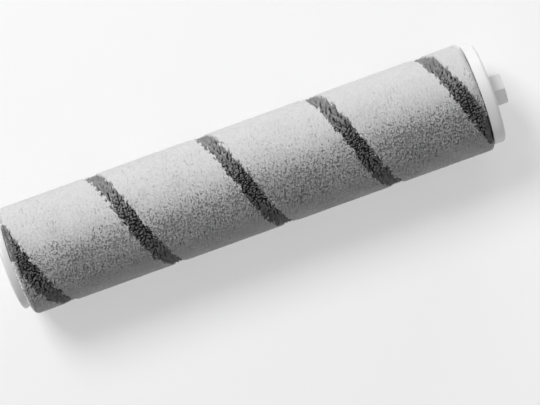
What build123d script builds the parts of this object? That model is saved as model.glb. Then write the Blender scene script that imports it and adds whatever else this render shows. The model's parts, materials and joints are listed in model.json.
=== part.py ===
from build123d import *
import os
from math import ceil, sqrt

# Soft roller brush of a stick vacuum cleaner, lying on its pile with its axis along X.
# The drive end points to -X. The bearing end, with its six-sided nub, points to +X.
# Sizes are in millimetres and Z is up, with the floor at Z = 0.

# Pile, which two ribbons wound side by side make up
PILE_DIAMETER = 48.0
PILE_HEIGHT = 5.0  # backing and pile together
PILE_LENGTH = 211.0
PILE_END_ROUND = 2.6
FLAT_SPOT_WIDTH = 9.0  # pile pressed flat under the roller's own weight
ADHESIVE_FILM = 0.1  # between the ribbons and the core

# Dark strip, a right-handed helix about +X
HELIX_LEAD = 50.2
STRIP_WIDTH = 7.4  # along the axis
STRIP_TOP_X = -5.9  # where one pass of the strip crosses the top of the roller
PILE_PARTING = 0.15  # between the two ribbons, along the axis

# Core tube
CORE_WALL = 2.0

# Drive end
FLANGE_DIAMETER = 41.4
FLANGE_DRAFT = 0.8  # how much the flange's radius falls towards the pile
FLANGE_THICKNESS = 3.5
FLANGE_EDGE_ROUND = 1.0
DRIVE_END_GAP = 0.8  # from the flange to the pile
PILOT_DIAMETER = 17.0
PILOT_DEPTH = 5.0
LEAD_IN = 0.5
SOCKET_WALL = 1.8  # outside the spline slots
SOCKET_DEPTH = 11.0
SOCKET_FLOOR = 2.0
SPLINE_MAJOR_DIAMETER = 16.4
SPLINE_MINOR_DIAMETER = 12.8
SPLINE_SLOT_PAIRS = 3
SPLINE_SLOT_WIDTH = 3.4
KEY_COUNT = 3
KEY_WIDTH = 3.0
KEY_HEIGHT = 1.2

# Bearing end
BEARING_END_GAP = 0.7  # from the pile to the nub cap
CAP_DIAMETER = 44.8
CAP_THICKNESS = 5.4
CAP_WALL = 2.2
CAP_EDGE_ROUND = 1.6
NUB_ACROSS_FLATS = 13.5
NUB_LENGTH = 6.6
NUB_TURN = 22.9  # of the uppermost flat, from straight up towards +Y, in degrees
NUB_DRAFT = 1.0
NUB_CORNER_ROUND = 0.6
NUB_EDGE_ROUND = 0.8
CARRIER_FLANGE = 1.2
CARRIER_SHOULDER = 1.5
BOSS_WALL = 1.7  # of the shoulder that bears on the inner race

# Moulded plugs at both ends of the core
PLUG_WALL = 2.0
HUB_WALL = 2.5
RIB_COUNT = 6
RIB_THICKNESS = 1.6

# Deep-groove ball bearing
BEARING_BORE = 8.0
BEARING_DIAMETER = 22.0
BEARING_WIDTH = 7.0
BALL_DIAMETER = 3.97
BALL_COUNT = 7
BALL_PLAY = 0.06
RACE_LAND = 1.43  # from the ball circle to either race's land
RACE_CHAMFER = 0.3
CAGE_BACK = 2.55  # from the balls' plane to the cage's closed side
CAGE_FRONT = 0.9  # from the balls' plane to the cage's open side
CAGE_WALL = 1.6
CAGE_PLAY = 0.12
SHIELD_THICKNESS = 0.35
SHIELD_INSET = 0.25
SHIELD_SEAT = 0.7  # how far the shield's seat lies outside the outer race's land
SHIELD_GAP = 0.25  # from the shield to the inner race

# Bearing clip, washer, screw and felt
CLIP_THICKNESS = 1.0
CLIP_INSET = 0.8
CLIP_GROOVE = 0.5  # depth of the groove in the carrier
CLIP_WIDTH = 1.5
CLIP_MOUTH = 34.0  # opening of the clip, in degrees
CLIP_LUG = 1.5  # radius of the two lugs
CLIP_LUG_HOLE = 0.7
WASHER_WALL = 1.4  # how far the washer covers the inner race
WASHER_THICKNESS = 0.8
SPIGOT_RELIEF = 0.2
SCREW_DIAMETER = 3.5
SCREW_LENGTH = 13.0
SCREW_HEAD_DIAMETER = 6.6
SCREW_HEAD_HEIGHT = 2.2
SCREW_HEAD_ROUND = 0.8
CROSS_LENGTH = 3.6
CROSS_WIDTH = 0.9
CROSS_DEPTH = 1.2
SCREW_HOLE_SPARE = 1.0
FELT_THICKNESS = 1.5
FELT_WIDTH = 11.0
FELT_GAP = 0.15  # from the felt to the turning carrier

# Fits
PLUG_CLEARANCE = 0.05
SEAT_CLEARANCE = 0.02
SCREW_CLEARANCE = 0.05

# Radii
pile_radius = PILE_DIAMETER / 2
backing_radius = pile_radius - PILE_HEIGHT
core_radius = backing_radius - ADHESIVE_FILM
core_bore_radius = core_radius - CORE_WALL
plug_radius = core_bore_radius - PLUG_CLEARANCE
socket_radius = SPLINE_MAJOR_DIAMETER / 2 + SOCKET_WALL
socket_seat_radius = socket_radius + SEAT_CLEARANCE
bearing_radius = BEARING_DIAMETER / 2
bearing_seat_radius = bearing_radius + SEAT_CLEARANCE
ball_circle_radius = (BEARING_BORE + BEARING_DIAMETER) / 4
ball_radius = BALL_DIAMETER / 2
inner_land_radius = ball_circle_radius - RACE_LAND
outer_land_radius = ball_circle_radius + RACE_LAND
shield_seat_radius = outer_land_radius + SHIELD_SEAT
clip_groove_radius = bearing_radius + CLIP_GROOVE
clip_radius = clip_groove_radius - SEAT_CLEARANCE
clip_inner_radius = clip_radius - CLIP_WIDTH
spigot_radius = BEARING_BORE / 2 - SEAT_CLEARANCE
boss_radius = BEARING_BORE / 2 + BOSS_WALL
screw_hole_radius = SCREW_DIAMETER / 2 + SCREW_CLEARANCE
felt_inner_radius = boss_radius + PLUG_CLEARANCE

# Stations along X, from the drive end to the nub
roll_length = DRIVE_END_GAP + PILE_LENGTH + BEARING_END_GAP
overall_length = FLANGE_THICKNESS + roll_length + CAP_THICKNESS + NUB_LENGTH
drive_face = -overall_length / 2
tube_start = drive_face + FLANGE_THICKNESS
pile_start = tube_start + DRIVE_END_GAP
pile_end = pile_start + PILE_LENGTH
tube_end = pile_end - CARRIER_FLANGE
cap_inner_face = pile_end + BEARING_END_GAP
cap_outer_face = cap_inner_face + CAP_THICKNESS
socket_start = drive_face + PILOT_DEPTH
socket_end = socket_start + SOCKET_DEPTH + SOCKET_FLOOR
clip_start = pile_end - CLIP_INSET - CLIP_THICKNESS
bearing_outboard = clip_start
bearing_inboard = bearing_outboard - BEARING_WIDTH
bearing_middle = (bearing_outboard + bearing_inboard) / 2
carrier_end = bearing_inboard - CARRIER_SHOULDER
felt_start = pile_end + FELT_GAP
felt_end = felt_start + FELT_THICKNESS
cap_plate_back = cap_outer_face - CAP_WALL
spigot_end = bearing_inboard + SPIGOT_RELIEF
washer_end = bearing_inboard - WASHER_THICKNESS

# Reference planes on the roller's axis, which stands above the floor by the pile's pressed radius
axis_height = sqrt(pile_radius**2 - (FLAT_SPOT_WIDTH / 2) ** 2)
spin_axis = Axis((0, 0, axis_height), (1, 0, 0))
cross_plane = Plane(origin=(0, 0, axis_height), x_dir=(0, 1, 0), z_dir=(1, 0, 0))
profile_plane = Plane(origin=(0, 0, axis_height), x_dir=(1, 0, 0), z_dir=(0, -1, 0))
ball_plane = cross_plane.offset(bearing_middle)


# Whole pile, from which the two ribbons are cut
with BuildPart() as pile_sleeve:
    with BuildSketch(profile_plane) as sleeve_profile:
        with BuildLine():
            Polyline(
                (pile_start, backing_radius),
                (pile_start, pile_radius),
                (pile_end, pile_radius),
                (pile_end, backing_radius),
                close=True,
            )
        make_face()
        fillet(sleeve_profile.vertices().group_by(Axis.Y)[-1], PILE_END_ROUND)
    revolve(axis=spin_axis)
    split(bisect_by=Plane.XY, keep=Keep.TOP)


def wound_ribbon(width, middle_x):
    """Half-turn lengths of pile that follow the helix; one pass crosses the top at middle_x."""
    span = 360 * width / HELIX_LEAD
    count = ceil(2 * PILE_LENGTH / HELIX_LEAD)
    length = PILE_LENGTH / count
    turn = 360 * length / HELIX_LEAD
    lengths = []
    for index in range(count):
        start_x = pile_start + index * length
        start_angle = 90 + 360 * (start_x - middle_x) / HELIX_LEAD - span / 2
        with BuildSketch(cross_plane.offset(start_x)) as section:
            with BuildLine():
                inner = CenterArc((0, 0), core_bore_radius, start_angle, span)
                outer = CenterArc((0, 0), pile_radius + PILE_HEIGHT, start_angle, span)
                Line(inner @ 0, outer @ 0)
                Line(inner @ 1, outer @ 1)
            make_face()
        wedge = Solid.extrude_linear_with_rotation(
            section.sketch.face(), (start_x, 0, axis_height), (length, 0, 0), turn
        )
        with BuildPart() as ribbon_length:
            add(pile_sleeve.part)
            add(wedge, mode=Mode.INTERSECT)
        lengths.append(ribbon_length.part)
    return lengths


# Light plush ribbon
with BuildPart() as light_pile:
    add(wound_ribbon(HELIX_LEAD - STRIP_WIDTH - PILE_PARTING, STRIP_TOP_X + HELIX_LEAD / 2))

# Dark tufted ribbon
with BuildPart() as dark_strip:
    add(wound_ribbon(STRIP_WIDTH - PILE_PARTING, STRIP_TOP_X))

# Core tube
with BuildPart() as core_tube:
    with BuildSketch(cross_plane.offset(tube_start)):
        Circle(core_radius)
        Circle(core_bore_radius, mode=Mode.SUBTRACT)
    extrude(amount=tube_end - tube_start)

# Drive end cap: flange, ribbed plug and the hub that holds the drive socket
with BuildPart() as drive_end_cap:
    flange_radius = FLANGE_DIAMETER / 2
    with BuildSketch(profile_plane):
        with BuildLine():
            Polyline(
                (drive_face, 0),
                (drive_face, flange_radius),
                (tube_start, flange_radius - FLANGE_DRAFT),
                (tube_start, 0),
                close=True,
            )
        make_face()
    revolve(axis=spin_axis)
    flange_edges = drive_end_cap.edges().filter_by(GeomType.CIRCLE)
    fillet(flange_edges.sort_by(SortBy.RADIUS)[-1], FLANGE_EDGE_ROUND)
    hub_radius = socket_seat_radius + HUB_WALL
    plug_inner_radius = plug_radius - PLUG_WALL
    rib_length = (plug_radius + plug_inner_radius) / 2 - hub_radius + HUB_WALL / 2
    with BuildSketch(cross_plane.offset(tube_start)):
        Circle(plug_radius)
        Circle(plug_inner_radius, mode=Mode.SUBTRACT)
        Circle(hub_radius)
        with PolarLocations(hub_radius - HUB_WALL / 2 + rib_length / 2, RIB_COUNT):
            Rectangle(rib_length, RIB_THICKNESS)
    extrude(amount=socket_end - tube_start)
    with BuildSketch(cross_plane.offset(socket_start)):
        Circle(socket_seat_radius)
        with PolarLocations(socket_seat_radius, KEY_COUNT):
            Rectangle(2 * KEY_HEIGHT, KEY_WIDTH + 2 * SEAT_CLEARANCE)
    extrude(amount=socket_end - socket_start, mode=Mode.SUBTRACT)
    with BuildSketch(cross_plane.offset(drive_face)):
        Circle(PILOT_DIAMETER / 2)
    extrude(amount=PILOT_DEPTH, mode=Mode.SUBTRACT)
    mouth_edges = drive_end_cap.edges().filter_by(GeomType.CIRCLE).group_by(Axis.X)[0]
    chamfer(mouth_edges.sort_by(SortBy.RADIUS)[0], LEAD_IN)

# Drive socket: a keyed cup with spline slots for the motor's dog
with BuildPart() as drive_socket:
    with BuildSketch(cross_plane.offset(socket_start)):
        Circle(socket_radius)
        with PolarLocations(socket_radius, KEY_COUNT):
            Rectangle(2 * (KEY_HEIGHT - SEAT_CLEARANCE), KEY_WIDTH)
    extrude(amount=socket_end - socket_start)
    with BuildSketch(cross_plane.offset(socket_start)):
        with PolarLocations(0, SPLINE_SLOT_PAIRS, angular_range=180):
            Rectangle(2 * SPLINE_MAJOR_DIAMETER, SPLINE_SLOT_WIDTH)
        Circle(SPLINE_MINOR_DIAMETER / 2)
        Circle(SPLINE_MAJOR_DIAMETER / 2, mode=Mode.INTERSECT)
    extrude(amount=SOCKET_DEPTH, mode=Mode.SUBTRACT)

# Bearing carrier: flange on the tube's end, ribbed plug and bearing seat
with BuildPart() as bearing_carrier:
    with BuildSketch(cross_plane.offset(tube_end)):
        Circle(core_radius)
    extrude(amount=CARRIER_FLANGE)
    hub_radius = clip_groove_radius + HUB_WALL
    rib_length = (plug_radius + plug_inner_radius) / 2 - hub_radius + HUB_WALL / 2
    with BuildSketch(cross_plane.offset(carrier_end)):
        Circle(plug_radius)
        Circle(plug_inner_radius, mode=Mode.SUBTRACT)
        Circle(hub_radius)
        with PolarLocations(hub_radius - HUB_WALL / 2 + rib_length / 2, RIB_COUNT):
            Rectangle(rib_length, RIB_THICKNESS)
    extrude(amount=tube_end - carrier_end)
    with BuildSketch(cross_plane.offset(bearing_inboard)):
        Circle(bearing_seat_radius)
    extrude(amount=pile_end - bearing_inboard, mode=Mode.SUBTRACT)
    with BuildSketch(cross_plane.offset(clip_start)):
        Circle(clip_groove_radius)
    extrude(amount=CLIP_THICKNESS, mode=Mode.SUBTRACT)
    with BuildSketch(cross_plane.offset(carrier_end)):
        Circle(shield_seat_radius)
    extrude(amount=CARRIER_SHOULDER, mode=Mode.SUBTRACT)

# Outer race, with a seat for a shield on each side
with BuildPart() as bearing_outer_race:
    with BuildSketch(cross_plane.offset(bearing_inboard)):
        Circle(bearing_radius)
        Circle(outer_land_radius, mode=Mode.SUBTRACT)
    extrude(amount=BEARING_WIDTH)
    rim_edges = bearing_outer_race.edges().filter_by(GeomType.CIRCLE).group_by(SortBy.RADIUS)[-1]
    chamfer(rim_edges, RACE_CHAMFER)
    with BuildSketch(cross_plane.offset(bearing_inboard), cross_plane.offset(bearing_outboard)):
        Circle(shield_seat_radius)
    extrude(amount=SHIELD_INSET + SHIELD_THICKNESS, both=True, mode=Mode.SUBTRACT)
    with Locations(ball_plane):
        Torus(ball_circle_radius, ball_radius + BALL_PLAY, mode=Mode.SUBTRACT)

# Inner race
with BuildPart() as bearing_inner_race:
    with BuildSketch(cross_plane.offset(bearing_inboard)):
        Circle(inner_land_radius)
        Circle(BEARING_BORE / 2, mode=Mode.SUBTRACT)
    extrude(amount=BEARING_WIDTH)
    bore_edges = bearing_inner_race.edges().filter_by(GeomType.CIRCLE).group_by(SortBy.RADIUS)[0]
    chamfer(bore_edges, RACE_CHAMFER)
    with Locations(ball_plane):
        Torus(ball_circle_radius, ball_radius + BALL_PLAY, mode=Mode.SUBTRACT)

# Balls, as one group
with BuildPart() as bearing_balls:
    with Locations(ball_plane):
        with PolarLocations(ball_circle_radius, BALL_COUNT):
            Sphere(ball_radius)

# Crown cage, whose pockets hold the balls from one side
with BuildPart() as bearing_cage:
    with BuildSketch(cross_plane.offset(bearing_middle - CAGE_BACK)):
        Circle(ball_circle_radius + CAGE_WALL / 2)
        Circle(ball_circle_radius - CAGE_WALL / 2, mode=Mode.SUBTRACT)
    extrude(amount=CAGE_BACK + CAGE_FRONT)
    with Locations(ball_plane):
        with PolarLocations(ball_circle_radius, BALL_COUNT):
            Sphere(ball_radius + CAGE_PLAY, mode=Mode.SUBTRACT)

# Shields on both sides of the bearing
with BuildPart() as inboard_shield:
    with BuildSketch(cross_plane.offset(bearing_inboard + SHIELD_INSET)):
        Circle(shield_seat_radius - SEAT_CLEARANCE)
        Circle(inner_land_radius + SHIELD_GAP, mode=Mode.SUBTRACT)
    extrude(amount=SHIELD_THICKNESS)

with BuildPart() as outboard_shield:
    with BuildSketch(cross_plane.offset(bearing_outboard - SHIELD_INSET)):
        Circle(shield_seat_radius - SEAT_CLEARANCE)
        Circle(inner_land_radius + SHIELD_GAP, mode=Mode.SUBTRACT)
    extrude(amount=-SHIELD_THICKNESS)

# Bearing clip: an open ring with two eyed lugs, sprung into the carrier's groove
with BuildPart() as bearing_clip:
    with BuildSketch(cross_plane.offset(clip_start)):
        with BuildLine():
            clip_inner = CenterArc((0, 0), clip_inner_radius, CLIP_MOUTH / 2, 360 - CLIP_MOUTH)
            clip_outer = CenterArc((0, 0), clip_radius, CLIP_MOUTH / 2, 360 - CLIP_MOUTH)
            Line(clip_inner @ 0, clip_outer @ 0)
            Line(clip_inner @ 1, clip_outer @ 1)
        make_face()
        with PolarLocations(clip_inner_radius, 2, -CLIP_MOUTH / 2, 2 * CLIP_MOUTH):
            Circle(CLIP_LUG)
        with PolarLocations(clip_inner_radius, 2, -CLIP_MOUTH / 2, 2 * CLIP_MOUTH):
            Circle(CLIP_LUG_HOLE, mode=Mode.SUBTRACT)
    extrude(amount=CLIP_THICKNESS)

# Nub cap: a ribbed cup with the six-sided nub outside and the bearing's spigot inside
with BuildPart() as nub_cap:
    with BuildSketch(cross_plane.offset(cap_inner_face)):
        Circle(CAP_DIAMETER / 2)
    extrude(amount=CAP_THICKNESS)
    cap_edges = nub_cap.edges().filter_by(GeomType.CIRCLE).sort_by(Axis.X)
    fillet(cap_edges[-1], CAP_EDGE_ROUND)
    cup_radius = CAP_DIAMETER / 2 - CAP_WALL
    with BuildSketch(cross_plane.offset(cap_inner_face)):
        Circle(cup_radius)
    extrude(amount=CAP_THICKNESS - CAP_WALL, mode=Mode.SUBTRACT)
    rib_length = cup_radius + CAP_WALL / 2 - boss_radius / 2
    with BuildSketch(cross_plane.offset(felt_end)):
        with PolarLocations(boss_radius / 2 + rib_length / 2, RIB_COUNT):
            Rectangle(rib_length, RIB_THICKNESS)
    extrude(amount=cap_plate_back - felt_end)
    with BuildSketch(cross_plane.offset(bearing_outboard)):
        Circle(boss_radius)
    extrude(amount=cap_plate_back - bearing_outboard)
    with BuildSketch(cross_plane.offset(spigot_end)):
        Circle(spigot_radius)
    extrude(amount=bearing_outboard - spigot_end)
    with BuildSketch(cross_plane.offset(cap_outer_face)) as nub_outline:
        RegularPolygon(NUB_ACROSS_FLATS / 2, 6, major_radius=False, rotation=60 - NUB_TURN)
        fillet(nub_outline.vertices(), NUB_CORNER_ROUND)
    extrude(amount=NUB_LENGTH, taper=NUB_DRAFT)
    fillet(nub_cap.faces().sort_by(Axis.X)[-1].edges(), NUB_EDGE_ROUND)
    with BuildSketch(cross_plane.offset(spigot_end)):
        Circle(screw_hole_radius)
    extrude(amount=SCREW_LENGTH + SCREW_HOLE_SPARE, mode=Mode.SUBTRACT)

# Felt ring between the nub cap's ribs and the carrier
with BuildPart() as dust_felt:
    with BuildSketch(cross_plane.offset(felt_start)):
        Circle(felt_inner_radius + FELT_WIDTH)
        Circle(felt_inner_radius, mode=Mode.SUBTRACT)
    extrude(amount=FELT_THICKNESS)

# Washer that clamps the inner race
with BuildPart() as screw_washer:
    with BuildSketch(cross_plane.offset(washer_end)):
        Circle(BEARING_BORE / 2 + WASHER_WALL)
        Circle(screw_hole_radius, mode=Mode.SUBTRACT)
    extrude(amount=WASHER_THICKNESS)

# Screw into the nub cap's spigot
with BuildPart() as retaining_screw:
    with BuildSketch(cross_plane.offset(washer_end)):
        Circle(SCREW_HEAD_DIAMETER / 2)
    extrude(amount=-SCREW_HEAD_HEIGHT)
    fillet(retaining_screw.edges().filter_by(GeomType.CIRCLE).sort_by(Axis.X)[0], SCREW_HEAD_ROUND)
    with BuildSketch(cross_plane.offset(washer_end - SCREW_HEAD_HEIGHT)):
        with PolarLocations(0, 2, angular_range=180):
            Rectangle(CROSS_LENGTH, CROSS_WIDTH)
    extrude(amount=CROSS_DEPTH, mode=Mode.SUBTRACT)
    with BuildSketch(cross_plane.offset(washer_end)):
        Circle(SCREW_DIAMETER / 2)
    extrude(amount=SCREW_LENGTH)
    chamfer(retaining_screw.edges().filter_by(GeomType.CIRCLE).sort_by(Axis.X)[-1], SCREW_DIAMETER / 4)

pieces = {
    "light_pile": light_pile,
    "dark_strip": dark_strip,
    "core_tube": core_tube,
    "drive_end_cap": drive_end_cap,
    "drive_socket": drive_socket,
    "bearing_carrier": bearing_carrier,
    "bearing_outer_race": bearing_outer_race,
    "bearing_inner_race": bearing_inner_race,
    "bearing_balls": bearing_balls,
    "bearing_cage": bearing_cage,
    "inboard_shield": inboard_shield,
    "outboard_shield": outboard_shield,
    "bearing_clip": bearing_clip,
    "nub_cap": nub_cap,
    "dust_felt": dust_felt,
    "screw_washer": screw_washer,
    "retaining_screw": retaining_screw,
}

os.makedirs("parts", exist_ok=True)
for name, piece in pieces.items():
    piece.part.label = name
    export_step(piece.part, f"parts/{name}.step")
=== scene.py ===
import json
from collections import namedtuple
from itertools import product
from math import hypot, pi, radians, tau

import bpy
import numpy as np
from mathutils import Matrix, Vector


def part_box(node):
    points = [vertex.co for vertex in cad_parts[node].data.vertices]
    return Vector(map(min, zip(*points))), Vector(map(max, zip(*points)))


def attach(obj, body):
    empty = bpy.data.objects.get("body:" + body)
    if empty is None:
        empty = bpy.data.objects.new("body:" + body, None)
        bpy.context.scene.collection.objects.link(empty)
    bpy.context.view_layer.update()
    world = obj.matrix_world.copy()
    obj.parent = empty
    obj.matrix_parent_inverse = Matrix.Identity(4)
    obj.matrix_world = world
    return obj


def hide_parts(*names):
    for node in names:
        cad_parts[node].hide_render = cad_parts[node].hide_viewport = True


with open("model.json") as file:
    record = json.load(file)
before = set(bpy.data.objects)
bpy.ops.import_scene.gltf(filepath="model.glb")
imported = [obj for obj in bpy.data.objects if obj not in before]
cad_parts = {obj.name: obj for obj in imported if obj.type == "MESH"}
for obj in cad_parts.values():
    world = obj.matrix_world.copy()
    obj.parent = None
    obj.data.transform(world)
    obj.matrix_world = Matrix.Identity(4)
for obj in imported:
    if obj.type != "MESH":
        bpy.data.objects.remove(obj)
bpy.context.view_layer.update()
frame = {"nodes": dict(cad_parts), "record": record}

# Soft roller brush: fibres for both plush ribbons, materials for the rest. Lengths are in metres.
MM = 0.001

# Sizes of the pile, read from its solid; the roller lies along X
pile_low, pile_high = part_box("light_pile")
PILE_START = pile_low.x
PILE_END = pile_high.x
PILE_RADIUS = pile_high.y
PILE_THICKNESS = 5.0 * MM
AXIS_HEIGHT = pile_high.z - PILE_RADIUS
BACKING_RADIUS = PILE_RADIUS - PILE_THICKNESS
END_ROUND = 1.8 * MM
TURN_LENGTH = tau * PILE_RADIUS

# The dark strip's helix, and its ragged edges
HELIX_LEAD = 50.2 * MM
STRIP_WIDTH = 7.4 * MM
STRIP_TOP_X = -5.9 * MM
TOP_TURN = 0.25  # turns from +Y to the roller's top
EDGE_RAGGED = 1.4 * MM
EDGE_SIZE = 1.1 * MM

# Fibres of either ribbon: where in its cell of the grid one may stand, and how far it passes an end face
CELL_FROM = 0.1
CELL_TO = 0.9
END_PROUD = 0.6 * MM

# How thick a fibre is, where along its height it is thickest, and how much of its shading comes from the
# pile's surface rather than from its own sides
Form = namedtuple("Form", "radius shoulder smooth")
LIGHT_FORM = Form(radius=0.36 * MM, shoulder=0.85, smooth=0.97)
TUFT_FORM = Form(radius=0.2 * MM, shoulder=0.4, smooth=0.6)

# A fibre is a closed spike: its root, three corners round its shoulder and its tip
Fibres = namedtuple("Fibres", "roots tips up shades")
SPIKE_POINTS = 5
SPIKE_FACES = np.array([(0, 2, 1), (0, 3, 2), (0, 1, 3), (4, 1, 2), (4, 2, 3), (4, 3, 1)])
NEARLY_ALONG_X = 0.9

# Light nap: dense fibres whose lean changes slowly over the roller
LIGHT_PITCH = 0.52 * MM
LIGHT_DEPTH = 2.0 * MM
LIGHT_PROUD = 0.35 * MM
LIGHT_UNEVEN = 0.12 * MM
LIGHT_PIECES = 4
LAY_SIZE = 8.0 * MM
LAY_LEAN = 0.35 * MM
LAY_SWEEP = -0.9 * MM
STRAY_LEAN = 0.04 * MM
RELIEF_SIZE = 0.65 * MM
RELIEF_HEIGHT = 0.1 * MM
SLOPE_STEP = RELIEF_SIZE / 8

# Gaps of the light nap, which open where noise passes a level that rises away from the ruffled side
GAP_SIZE = 0.34 * MM
GAP_DEPTH = 0.9 * MM
GAP_FROM = -0.05
GAP_PATCHY = 0.15
GAP_BRUSHED = 2.6
# Around this angle the nap is ruffled, and its gaps, painted darker as shade, gather most
RUFFLED_ANGLE = radians(114)

# Dark strip: tufts that are wider across the strip than along it, and splay towards its edges
TUFT_PITCH = 1.0 * MM
TUFT_FIBRES = 9
TUFT_ACROSS = 0.6 * MM
TUFT_ALONG = 0.28 * MM
TUFT_GATHERED = 0.35
TUFT_SPLAY = 0.9 * MM
TUFT_LEAN = 0.2 * MM
TUFT_SWEEP = -0.3 * MM
TUFT_DEPTH = 3.0 * MM
TUFT_DOME = 0.5 * MM
TUFT_PROUD = 0.4 * MM
TUFT_UNEVEN = 0.6 * MM
TUFT_FIBRE_UNEVEN = 0.2 * MM
TUFT_PIECES = 2

# Seeds of the random draws
LIGHT_GRID_SEED = 11
EDGE_SEED = 12
LIGHT_SEED = 13
LAY_SEEDS = (15, 16)
RELIEF_SEED = 17
GAP_SEED = 18
PATCH_SEED = 19
LIGHT_SPIKE_SEED = 21
TUFT_GRID_SEED = 31
TUFT_SEED = 32
TUFT_SPIKE_SEED = 33
NOISE_CELLS = 64  # on a side of the noise's table

# Looks of the fibres: levels of grey, how far one fibre's or tuft's shade may differ, and sheen
# Grey of the gaps' short fibres, darker as painted shade for the pits they stand in
LIGHT_GAP_SHADED = 0.36
# The roots' darker greys are painted shade of the pile's depths; the tips' greys are the fibres' own colour
LIGHT_ROOT_SHADED = 0.55
LIGHT_TIP = 0.6
LIGHT_SHADE = 0.02
LIGHT_SHEEN = 1.0
# The dark roots' near black is painted shade of the tufts' depths
DARK_ROOT_SHADED = 0.04
DARK_TIP = 0.27
DARK_SHADE = 0.32
DARK_SHEEN = 0.1
# Below this share of its height a fibre's colour darkens as painted shade towards its root
UNSHADED_FROM = 0.8  # share of a fibre's height where it reaches its tip's colour
FIBRE_ROUGHNESS = 0.95
FIBRE_SHINE = 0.15
SHEEN_ROUGHNESS = 0.5

# Rigid materials: colour, roughness, the grain's size and depth, and further shader values
STEEL = {"Metallic": 1.0}
FELTED = {"Sheen Weight": 0.4}
SURFACES = {
    "white_plastic": ((0.69, 0.69, 0.69), 0.38, 0.6 * MM, 0.01 * MM, {}),
    "core_plastic": ((0.3, 0.3, 0.31), 0.5, 0.5 * MM, 0.02 * MM, {}),
    "socket_plastic": ((0.05, 0.05, 0.053), 0.42, 0.4 * MM, 0.02 * MM, {}),
    "cage_plastic": ((0.7, 0.66, 0.55), 0.45, 0.3 * MM, 0.01 * MM, {}),
    "bearing_steel": ((0.62, 0.62, 0.63), 0.25, 0.2 * MM, 0.004 * MM, STEEL),
    "ball_steel": ((0.75, 0.75, 0.76), 0.12, 0.2 * MM, 0.001 * MM, STEEL),
    "spring_steel": ((0.12, 0.12, 0.125), 0.35, 0.2 * MM, 0.006 * MM, STEEL),
    "screw_steel": ((0.6, 0.6, 0.6), 0.3, 0.2 * MM, 0.005 * MM, STEEL),
    "felt": ((0.28, 0.28, 0.28), 0.9, 0.25 * MM, 0.15 * MM, FELTED),
}
GRAIN_STRENGTH = 0.35
GRAIN_DETAIL = 3.0
GLOSS_SPREAD = 0.06
MOTTLE_SCALE = 0.05  # of the grain's own scale
MOTTLE_DETAIL = 2.0
MOTTLE_SPREAD = 0.04

# Floor and even fill light
FLOOR_SIZE = 8.0
FLOOR_DROP = 0.1 * MM
FLOOR_LEVEL = 0.9
FLOOR_WHITE = 0.42
FILL = 0.28

# Soft lamps: the way to each from the roller, its size and its power
LAMP_DISTANCE = 1.6
SIDE_SIZE = (0.9, 0.3)
LAMPS = {
    "key": ((-0.275, 0.590, 0.755), (0.6, 0.6), 20.0),
    "far_side": ((0.45, 0.87, 0.22), SIDE_SIZE, 8.0),
    "near_side": ((0.1, -0.975, 0.2), SIDE_SIZE, 2.7),
}

# Camera, straight above the roller
CAMERA_PLACE = (0.0019, -0.01303, AXIS_HEIGHT + 1.012)
CAMERA_TURN = radians(-19.8)
CAMERA_LENS = 155.3


def pile_outline():
    """The pile's outline, from one end's backing over its side to the other's, as values at its corners:
    the length along it, the angle of the way out, and the X and radius of a line END_ROUND inside it."""
    face = PILE_RADIUS - END_ROUND - BACKING_RADIUS
    arc = END_ROUND * pi / 2
    side = PILE_END - PILE_START - 2 * END_ROUND
    lengths = np.cumsum([0, face, arc, side, arc, face])
    tilts = np.array([pi, pi, pi / 2, pi / 2, 0, 0])
    inner_x = np.array([PILE_START + END_ROUND] * 3 + [PILE_END - END_ROUND] * 3)
    inner_radius = np.array([BACKING_RADIUS] + [PILE_RADIUS - END_ROUND] * 4 + [BACKING_RADIUS])
    return lengths, tilts, inner_x, inner_radius


OUTLINE_S, OUTLINE_TILT, OUTLINE_X, OUTLINE_RADIUS = pile_outline()
OUTLINE_LENGTH = OUTLINE_S[-1]


def place(s, w, depth):
    """Points under the pile's surface: s runs along the outline, w around the roller."""
    tilt = np.interp(s, OUTLINE_S, OUTLINE_TILT)
    reach = END_ROUND - depth
    x = np.interp(s, OUTLINE_S, OUTLINE_X) + reach * np.cos(tilt)
    radius = np.interp(s, OUTLINE_S, OUTLINE_RADIUS) + reach * np.sin(tilt)
    angle = w / PILE_RADIUS
    z = AXIS_HEIGHT + radius * np.sin(angle)
    return np.stack([x, radius * np.cos(angle), np.maximum(z, 0)], axis=-1)


def proud(s, side):
    """How far fibres stand over the pile: that much on its long side, and END_PROUD on its end faces."""
    tilt = np.interp(s, OUTLINE_S, OUTLINE_TILT)
    return side + (END_PROUD - side) * np.cos(tilt) ** 2


def unit(vectors):
    """The same vectors with a length of one."""
    return vectors / np.linalg.norm(vectors, axis=-1, keepdims=True)


def upward(s, w, relief):
    """The way out of a surface that stands over the pile by relief(s, w)."""
    here = place(s, w, -relief(s, w))
    along = place(s + SLOPE_STEP, w, -relief(s + SLOPE_STEP, w)) - here
    around = place(s, w + SLOPE_STEP, -relief(s, w + SLOPE_STEP)) - here
    return unit(np.cross(around, along))


def smooth_noise(points, size, seed):
    """Smooth random values from -1 to 1 that change over about that size."""
    table = np.random.default_rng(seed).uniform(-1, 1, (NOISE_CELLS,) * 3)
    scaled = points / size
    cell = np.floor(scaled).astype(int)
    part = scaled - cell
    part = part * part * (3 - 2 * part)
    value = np.zeros(len(points))
    for corner in product((0, 1), repeat=3):
        weight = np.prod(np.where(corner, part, 1 - part), axis=1)
        value += weight * table[tuple(((cell + corner) % NOISE_CELLS).T)]
    return value


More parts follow.
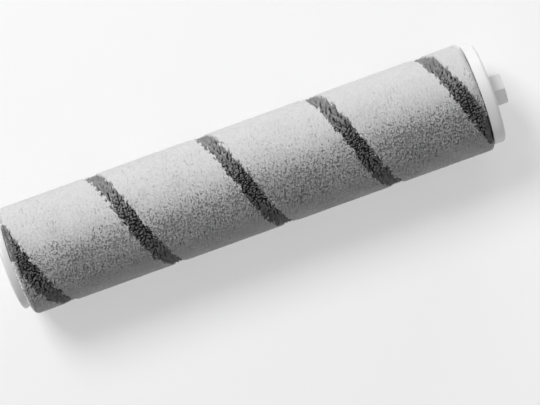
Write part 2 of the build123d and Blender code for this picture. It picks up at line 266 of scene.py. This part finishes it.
def scattered(pitch, seed):
    """Uneven places all over the unrolled pile, one in each cell of a grid, as arrays of s and w."""
    rows = round(OUTLINE_LENGTH / pitch)
    columns = round(TURN_LENGTH / pitch)
    row, column = np.meshgrid(np.arange(rows), np.arange(columns), indexing="ij")
    shift = np.random.default_rng(seed).uniform(CELL_FROM, CELL_TO, (2, rows, columns))
    s = (row + shift[0]) * OUTLINE_LENGTH / rows
    w = (column + shift[1]) * TURN_LENGTH / columns
    return s.ravel(), w.ravel()


def strip_offset(s, w):
    """Distance along the axis from the middle of the nearest pass of the strip."""
    x = place(s, w, 0)[..., 0]
    middle = STRIP_TOP_X + HELIX_LEAD * (w / TURN_LENGTH - TOP_TURN)
    return (x - middle + HELIX_LEAD / 2) % HELIX_LEAD - HELIX_LEAD / 2


def in_strip(s, w):
    """Whether a place lies inside the strip's ragged edges."""
    ragged = EDGE_RAGGED * smooth_noise(place(s, w, 0), EDGE_SIZE, EDGE_SEED)
    return np.abs(strip_offset(s, w)) < STRIP_WIDTH / 2 + ragged


def in_gap(s, w):
    """Whether a place lies in one of the nap's small gaps, which are few where it is brushed smooth."""
    surface = place(s, w, 0)
    patches = GAP_PATCHY * smooth_noise(surface, LAY_SIZE, PATCH_SEED)
    brushed = np.sin(w / PILE_RADIUS - RUFFLED_ANGLE) ** 2
    return smooth_noise(surface, GAP_SIZE, GAP_SEED) + patches > GAP_FROM + GAP_BRUSHED * brushed


def light_relief(s, w):
    """Small rises and dips of the light nap."""
    return RELIEF_HEIGHT * smooth_noise(place(s, w, 0), RELIEF_SIZE, RELIEF_SEED)


def no_relief(s, w):
    """The pile's plain surface."""
    return np.zeros(len(s))


def light_fibres():
    """The light nap's fibres, and which of them stand in its gaps."""
    s, w = scattered(LIGHT_PITCH, LIGHT_GRID_SEED)
    kept = ~in_strip(s, w)
    s, w = s[kept], w[kept]
    rng = np.random.default_rng(LIGHT_SEED)
    surface = place(s, w, 0)
    lay_s, lay_w = (LAY_LEAN * smooth_noise(surface, LAY_SIZE, seed) for seed in LAY_SEEDS)
    stray_s, stray_w = rng.normal(0, STRAY_LEAN, (2, len(s)))
    gap = in_gap(s, w)
    drop = rng.uniform(0, LIGHT_UNEVEN, len(s)) - proud(s, LIGHT_PROUD)
    drop = drop - light_relief(s, w) + GAP_DEPTH * gap
    roots = place(s, w, LIGHT_DEPTH)
    tips = place(s + (lay_s + stray_s), w + (lay_w + stray_w + LAY_SWEEP), drop)
    shades = rng.uniform(-LIGHT_SHADE, LIGHT_SHADE, len(s))
    return Fibres(roots, tips, upward(s, w, light_relief), shades), gap


def per_fibre(values):
    """Values of tufts, repeated for each of their fibres."""
    return np.repeat(values, TUFT_FIBRES, axis=-1)


def tuft_spread(rng, count):
    """Where fibres lie in their tufts: the share of the way to the tuft's edge, and shifts in s and w."""
    share = np.sqrt(rng.uniform(0, 1, count))
    turn = rng.uniform(0, tau, count)
    across = TUFT_ACROSS * share * np.cos(turn)
    along = TUFT_ALONG * share * np.sin(turn)
    strip_length = hypot(HELIX_LEAD, TURN_LENGTH)
    shift_s = (across * TURN_LENGTH + along * HELIX_LEAD) / strip_length
    shift_w = (along * TURN_LENGTH - across * HELIX_LEAD) / strip_length
    return share, shift_s, shift_w


def tuft_fibres():
    """The dark strip's fibres, in domed tufts."""
    s, w = scattered(TUFT_PITCH, TUFT_GRID_SEED)
    kept = in_strip(s, w)
    tufts = np.count_nonzero(kept)
    s, w = per_fibre(s[kept]), per_fibre(w[kept])
    rng = np.random.default_rng(TUFT_SEED)
    share, shift_s, shift_w = tuft_spread(rng, len(s))
    lean_s, lean_w = per_fibre(rng.normal(0, TUFT_LEAN, (2, tufts)))
    tuft_drop = per_fibre(rng.uniform(0, TUFT_UNEVEN, tufts))
    fibre_drop = rng.uniform(0, TUFT_FIBRE_UNEVEN, len(s))
    drop = TUFT_DOME * share**2 - proud(s, TUFT_PROUD) + tuft_drop + fibre_drop
    splay = TUFT_SPLAY * strip_offset(s, w) / (STRIP_WIDTH / 2)
    roots = place(s + TUFT_GATHERED * shift_s, w + TUFT_GATHERED * shift_w, TUFT_DEPTH)
    tips = place(s + shift_s + lean_s + splay, w + shift_w + lean_w + TUFT_SWEEP, drop)
    shades = per_fibre(rng.uniform(-DARK_SHADE, DARK_SHADE, tufts))
    return Fibres(roots, tips, upward(s, w, no_relief), shades)


def spike_points(fibres, form, seed):
    """Vertices and normals of the fibres' spikes, kept between the end caps and above the floor."""
    roots, tips, up, _ = fibres
    along = unit(tips - roots)
    helper = np.where(np.abs(along[:, :1]) < NEARLY_ALONG_X, (1.0, 0.0, 0.0), (0.0, 1.0, 0.0))
    side = unit(np.cross(along, helper))
    other = np.cross(along, side)
    start = np.random.default_rng(seed).uniform(0, tau, len(roots))
    middle = roots + form.shoulder * (tips - roots)
    points = np.stack([roots, middle, middle, middle, tips], axis=1)
    normals = np.repeat(up[:, None], SPIKE_POINTS, axis=1)
    for corner in (1, 2, 3):
        turn = (start + corner * tau / 3)[:, None]
        outward = np.cos(turn) * side + np.sin(turn) * other
        points[:, corner] += form.radius * outward
        normals[:, corner] = unit(form.smooth * up + (1 - form.smooth) * outward)
    points[..., 0] = np.clip(points[..., 0], PILE_START - END_PROUD, PILE_END + END_PROUD)
    points[..., 2] = np.maximum(points[..., 2], 0)
    return points, normals


def add_values(mesh, name, values):
    """Numbers for a mesh's vertices, which its material reads by that name."""
    attribute = mesh.attributes.new(name, "FLOAT", "POINT")
    attribute.data.foreach_set("value", values.astype(np.float32))


def spike_mesh(name, fibres, form, seed):
    """One mesh of fibres, with a height for each vertex and a shade for each fibre."""
    points, normals = spike_points(fibres, form, seed)
    count = len(points)
    faces = (np.arange(count)[:, None, None] * SPIKE_POINTS + SPIKE_FACES).reshape(-1, 3)
    mesh = bpy.data.meshes.new(name)
    mesh.from_pydata(points.reshape(-1, 3), [], faces, shade_flat=False)
    # These heights let the material paint shade towards each fibre's root
    heights = np.array([0, form.shoulder, form.shoulder, form.shoulder, 1])
    add_values(mesh, "lift", np.tile(heights, count))
    add_values(mesh, "shade", np.repeat(fibres.shades, SPIKE_POINTS))
    mesh.normals_split_custom_set_from_vertices(normals.reshape(-1, 3))
    return mesh


def backing_mesh(node, depth):
    """The ribbon's solid, trimmed to lie that deep under the pile's surface."""
    mesh = frame["nodes"][node].data.copy()
    points = np.empty(len(mesh.vertices) * 3)
    mesh.vertices.foreach_get("co", points)
    points = points.reshape(-1, 3)
    points[:, 0] = np.clip(points[:, 0], PILE_START + depth, PILE_END - depth)
    points[:, 2] -= AXIS_HEIGHT
    radius = np.linalg.norm(points[:, 1:], axis=1)
    shrink = np.minimum(radius, PILE_RADIUS - depth) / radius
    points[:, 1:] *= shrink[:, None]
    points[:, 2] += AXIS_HEIGHT
    mesh.vertices.foreach_set("co", points.ravel())
    mesh.update()
    return mesh


def add_soft_piece(name, mesh, material, node):
    """A piece of the soft cover, which turns with the roller."""
    piece = bpy.data.objects.new(name, mesh)
    bpy.context.scene.collection.objects.link(piece)
    mesh.materials.clear()
    mesh.materials.append(material)
    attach(piece, "roller")
    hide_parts(node)


def add_light_pile():
    """The light ribbon: its backing, its nap in lengths along the roller, and short fibres in its gaps."""
    material = plush_material("light_plush", LIGHT_ROOT_SHADED, LIGHT_TIP, LIGHT_SHEEN)
    # The gaps' short fibres get one darker grey, painted shade for their pits
    shaded_gap_material = plush_material("light_gaps_shaded", LIGHT_GAP_SHADED, LIGHT_GAP_SHADED, 0.0)
    # The backing has no heights, so it takes the roots' painted shade
    backing = backing_mesh("light_pile", LIGHT_DEPTH)
    add_soft_piece("light_backing", backing, material, "light_pile")
    fibres, gap = light_fibres()
    lengths = np.array_split(np.flatnonzero(~gap), LIGHT_PIECES)
    groups = [(f"light_nap_{number}", chosen, material) for number, chosen in enumerate(lengths, 1)]
    groups.append(("light_gaps_shaded", np.flatnonzero(gap), shaded_gap_material))
    for seed, (name, chosen, coat) in enumerate(groups, LIGHT_SPIKE_SEED):
        group = Fibres(*(values[chosen] for values in fibres))
        add_soft_piece(name, spike_mesh(name, group, LIGHT_FORM, seed), coat, "light_pile")


def add_dark_strip():
    """The dark ribbon: its backing, and its tufts in lengths along the roller."""
    material = plush_material("dark_plush", DARK_ROOT_SHADED, DARK_TIP, DARK_SHEEN)
    # The backing has no heights, so it takes the roots' painted shade
    backing = backing_mesh("dark_strip", TUFT_DEPTH)
    add_soft_piece("dark_backing", backing, material, "dark_strip")
    fibres = tuft_fibres()
    lengths = np.array_split(np.arange(len(fibres.roots)), TUFT_PIECES)
    for index, chosen in enumerate(lengths):
        name = f"dark_tufts_{index + 1}"
        group = Fibres(*(values[chosen] for values in fibres))
        mesh = spike_mesh(name, group, TUFT_FORM, TUFT_SPIKE_SEED + index)
        add_soft_piece(name, mesh, material, "dark_strip")


def add_node(tree, kind, inputs=(), **settings):
    """A shader node with its settings, and values for its inputs by name or number."""
    node = tree.nodes.new(kind)
    for key, value in settings.items():
        setattr(node, key, value)
    for key, value in dict(inputs).items():
        node.inputs[key].default_value = value
    return node


def new_material(name, inputs):
    """A material with its main shader's plain values set; returns it, its tree and that shader."""
    material = bpy.data.materials.new(name)
    material.use_nodes = True
    shader = material.node_tree.nodes["Principled BSDF"]
    for key, value in inputs.items():
        shader.inputs[key].default_value = value
    return material, material.node_tree, shader


def grey(level):
    """A plain grey, as a colour socket takes it."""
    return (level, level, level, 1.0)


def plush_material(name, shaded_root_level, tip_level, sheen):
    """Fibres darkened towards their roots by painted shade, which also differ a little from each other at
    random.
    """
    values = {"Roughness": FIBRE_ROUGHNESS, "Specular IOR Level": FIBRE_SHINE}
    values |= {"Sheen Weight": sheen, "Sheen Roughness": SHEEN_ROUGHNESS}
    material, tree, shader = new_material(name, values)
    lift = add_node(tree, "ShaderNodeAttribute", attribute_name="lift")
    shade = add_node(tree, "ShaderNodeAttribute", attribute_name="shade")
    blend = add_node(tree, "ShaderNodeMix", data_type="RGBA")
    shade_fade = add_node(tree, "ShaderNodeMapRange", {"From Max": UNSHADED_FROM}, interpolation_type="SMOOTHSTEP")
    tree.links.new(lift.outputs["Fac"], shade_fade.inputs["Value"])
    tree.links.new(shade_fade.outputs["Result"], blend.inputs["Factor"])
    colours = [socket for socket in blend.inputs if socket.type == "RGBA"]
    colours[0].default_value = grey(shaded_root_level)
    colours[1].default_value = grey(tip_level)
    spread = add_node(tree, "ShaderNodeMath", {1: 1.0}, operation="ADD")
    tree.links.new(shade.outputs["Fac"], spread.inputs[0])
    tint = add_node(tree, "ShaderNodeVectorMath", operation="SCALE")
    result = [socket for socket in blend.outputs if socket.type == "RGBA"][0]
    tree.links.new(result, tint.inputs[0])
    tree.links.new(spread.outputs[0], tint.inputs["Scale"])
    tree.links.new(tint.outputs[0], shader.inputs["Base Color"])
    return material


def spread_range(tree, middle, spread):
    """A node that turns values from 0 to 1 into values that far about the middle."""
    return add_node(tree, "ShaderNodeMapRange", {"To Min": middle - spread, "To Max": middle + spread})


def grained_material(name, colour, roughness, grain, depth, values):
    """A moulded, turned or felted surface: fine grain in its relief and roughness, faint mottling."""
    material, tree, shader = new_material(name, values)
    coordinates = add_node(tree, "ShaderNodeTexCoord")
    fine = add_node(tree, "ShaderNodeTexNoise", {"Scale": 1 / grain, "Detail": GRAIN_DETAIL})
    broad = add_node(tree, "ShaderNodeTexNoise", {"Scale": MOTTLE_SCALE / grain, "Detail": MOTTLE_DETAIL})
    for noise in (fine, broad):
        tree.links.new(coordinates.outputs["Object"], noise.inputs["Vector"])
    relief = add_node(tree, "ShaderNodeBump", {"Strength": GRAIN_STRENGTH, "Distance": depth})
    tree.links.new(fine.outputs["Fac"], relief.inputs["Height"])
    tree.links.new(relief.outputs["Normal"], shader.inputs["Normal"])
    gloss = spread_range(tree, roughness, GLOSS_SPREAD)
    tree.links.new(fine.outputs["Fac"], gloss.inputs["Value"])
    tree.links.new(gloss.outputs["Result"], shader.inputs["Roughness"])
    mottle = spread_range(tree, 1.0, MOTTLE_SPREAD)
    tree.links.new(broad.outputs["Fac"], mottle.inputs["Value"])
    tint = add_node(tree, "ShaderNodeVectorMath", {0: colour}, operation="SCALE")
    tree.links.new(mottle.outputs["Result"], tint.inputs["Scale"])
    tree.links.new(tint.outputs[0], shader.inputs["Base Color"])
    return material


def dress_frame():
    """Gives every rigid CAD node its slot's material."""
    materials = {name: grained_material(name, *values) for name, values in SURFACES.items()}
    for row in frame["record"]["subparts"]:
        if row["material_slot"] in materials:
            mesh = frame["nodes"][row["node"]].data
            mesh.materials.clear()
            mesh.materials.append(materials[row["material_slot"]])


def seen_directly(tree):
    """One where a ray comes from the camera or by reflection or clear transmission, and else zero."""
    path = add_node(tree, "ShaderNodeLightPath")
    total = path.outputs["Is Camera Ray"]
    for kind in ("Is Glossy Ray", "Is Transmission Ray"):
        larger = add_node(tree, "ShaderNodeMath", operation="MAXIMUM")
        tree.links.new(total, larger.inputs[0])
        tree.links.new(path.outputs[kind], larger.inputs[1])
        total = larger.outputs[0]
    return total


def floor_material():
    """Plain and pale, so that it keeps the roller's shadow, and near white where it is seen."""
    material, tree, shader = new_material("floor", {"Roughness": 1.0, "Specular IOR Level": 0.0})
    shader.inputs["Base Color"].default_value = grey(FLOOR_LEVEL)
    white = add_node(tree, "ShaderNodeEmission", {"Color": grey(1.0), "Strength": 1.0})
    share = add_node(tree, "ShaderNodeMath", {1: FLOOR_WHITE}, operation="MULTIPLY")
    tree.links.new(seen_directly(tree), share.inputs[0])
    blend = add_node(tree, "ShaderNodeMixShader")
    tree.links.new(share.outputs[0], blend.inputs[0])
    tree.links.new(shader.outputs[0], blend.inputs[1])
    tree.links.new(white.outputs[0], blend.inputs[2])
    tree.links.new(blend.outputs[0], tree.nodes["Material Output"].inputs["Surface"])
    return material


def add_floor():
    """A square floor just under the roller."""
    half = FLOOR_SIZE / 2
    corners = [(x, y, -FLOOR_DROP) for x, y in ((-half, -half), (half, -half), (half, half), (-half, half))]
    mesh = bpy.data.meshes.new("floor")
    mesh.from_pydata(corners, [], [(0, 1, 2, 3)])
    mesh.materials.append(floor_material())
    floor = bpy.data.objects.new("floor", mesh)
    bpy.context.scene.collection.objects.link(floor)


def set_world():
    """Even fill light, and a white background where it is seen."""
    world = bpy.data.worlds.new("studio")
    world.use_nodes = True
    tree = world.node_tree
    background = tree.nodes["Background"]
    background.inputs["Color"].default_value = grey(1.0)
    level = add_node(tree, "ShaderNodeMapRange", {"To Min": FILL, "To Max": 1.0})
    tree.links.new(seen_directly(tree), level.inputs["Value"])
    tree.links.new(level.outputs["Result"], background.inputs["Strength"])
    bpy.context.scene.world = world


def add_lamp(name, towards, size, power):
    """One soft lamp that shines at the roller."""
    data = bpy.data.lights.new(name, "AREA")
    data.shape = "RECTANGLE"
    data.size, data.size_y = size
    data.energy = power
    lamp = bpy.data.objects.new(name, data)
    direction = Vector(towards).normalized()
    lamp.location = direction * LAMP_DISTANCE
    lamp.rotation_euler = direction.to_track_quat("Z", "Y").to_euler()
    lamp.visible_camera = False
    bpy.context.scene.collection.objects.link(lamp)


def add_camera():
    """Straight down on the roller, turned so that it lies slanting in the picture."""
    data = bpy.data.cameras.new("camera")
    data.lens = CAMERA_LENS
    camera = bpy.data.objects.new("camera", data)
    camera.location = CAMERA_PLACE
    camera.rotation_euler = (0, 0, CAMERA_TURN)
    bpy.context.scene.collection.objects.link(camera)
    bpy.context.scene.camera = camera


add_light_pile()
add_dark_strip()
dress_frame()
add_floor()
set_world()
for lamp_name, lamp_values in LAMPS.items():
    add_lamp(lamp_name, *lamp_values)
add_camera()
bpy.context.scene.view_settings.view_transform = "Standard"
